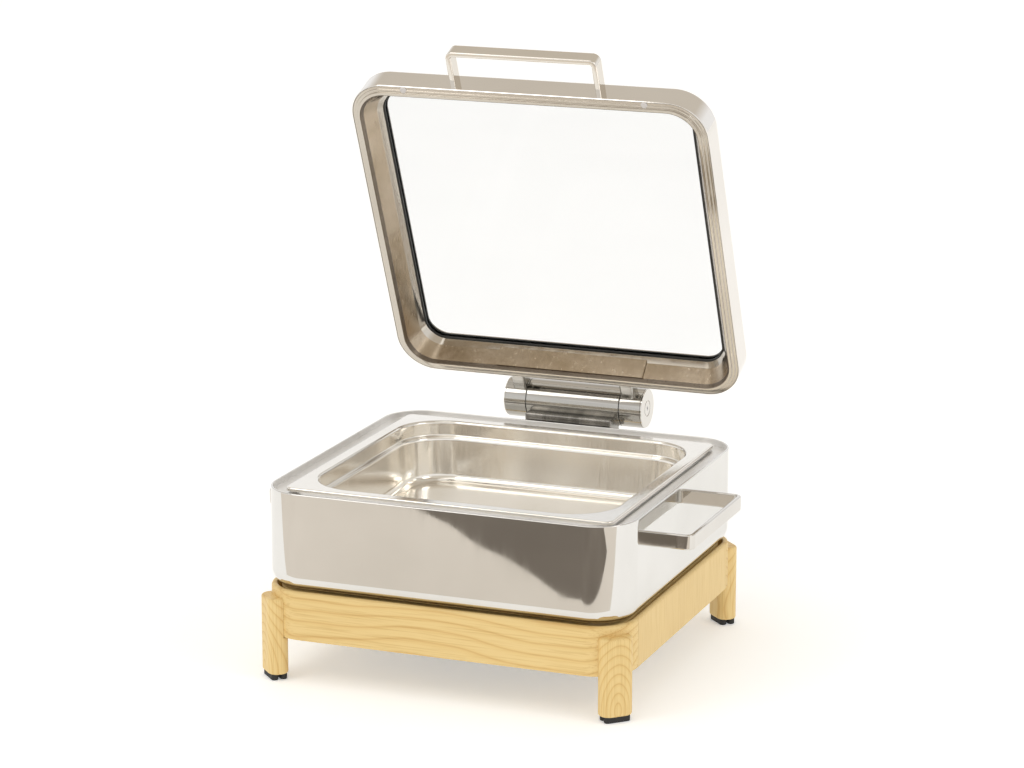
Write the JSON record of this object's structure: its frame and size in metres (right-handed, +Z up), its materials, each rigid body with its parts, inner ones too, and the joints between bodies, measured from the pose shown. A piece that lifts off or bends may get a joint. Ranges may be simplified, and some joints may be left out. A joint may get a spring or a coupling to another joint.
{
  "type": "chafing dish",
  "caption": "Square induction chafing dish with lift-out food pan, hinged glass lid with slow-close barrel hinge, side handles and a low wooden stand.",
  "frame": {"origin": "centre of the whole footprint on the floor, in the pose as modelled with the lid open; the body's centre line is at X 0", "axes": "+Z up, +X to the right seen from the front, +Y to the back where the hinge is"},
  "size_m": [0.4698, 0.4313, 0.6284],
  "materials": {
    "wood": "oiled",
    "polished_steel": "mirror polished stainless",
    "satin_steel": "satin stainless",
    "plain_steel": "plain",
    "screw_steel": "plain",
    "foot_rubber": "matte",
    "silicone": "satin",
    "aluminium": "plain",
    "bronze": "machined",
    "glass": "clear tempered",
    "clear_bumper": "soft clear"
  },
  "bodies": {
    "stand": {"apron_front": "wood", "apron_rear": "wood", "apron_left": "wood", "apron_right": "wood", "apron_dowels": "wood", "leg_front_left": "wood", "leg_front_right": "wood", "leg_rear_left": "wood", "leg_rear_right": "wood", "leg_bolts": "screw_steel", "foot_pads": "foot_rubber", "support_cleats": "wood", "cleat_screws": "screw_steel", "rest_pads": "silicone"},
    "chafer": {"body_shell": "polished_steel", "water_pan": "satin_steel", "base_core": "aluminium", "base_cap": "satin_steel", "side_handle_left": "polished_steel", "side_handle_right": "polished_steel", "handle_backing_plates": "plain_steel", "hinge_bracket": "polished_steel", "bracket_backing_plate": "plain_steel", "bracket_screws": "screw_steel", "hinge_bushes": "bronze", "damper_housing": "plain_steel"},
    "lid": {"lid_frame": "polished_steel", "lid_liner": "satin_steel", "lid_glass": "glass", "glass_gasket": "silicone", "lid_handle": "polished_steel", "lid_handle_screws": "screw_steel", "lid_bumpers": "clear_bumper", "hinge_stiffener": "plain_steel", "hinge_cover_plate": "satin_steel", "hinge_knuckle_left": "polished_steel", "hinge_knuckle_right": "polished_steel", "knuckle_screws": "screw_steel", "hinge_shaft": "plain_steel", "damper_rotor": "plain_steel", "hinge_end_caps": "polished_steel", "hinge_end_screws": "screw_steel"},
    "pan": {"food_pan": "satin_steel"}
  },
  "joints": [
    {"name": "chafer_lift", "type": "slide", "parent": "stand", "child": "chafer", "axis": [0, 0, 1], "range_m": [0, 0.04]},
    {"name": "lid_hinge", "type": "hinge", "parent": "chafer", "child": "lid", "pos_m": [0, 0.19405, 0.2158], "axis": [-1, 0, 0], "range_deg": [-66.7, 23.3]},
    {"name": "food_pan_lift", "type": "slide", "parent": "chafer", "child": "pan", "axis": [0, 0, 1], "range_m": [0, 0.104]}
  ]
}
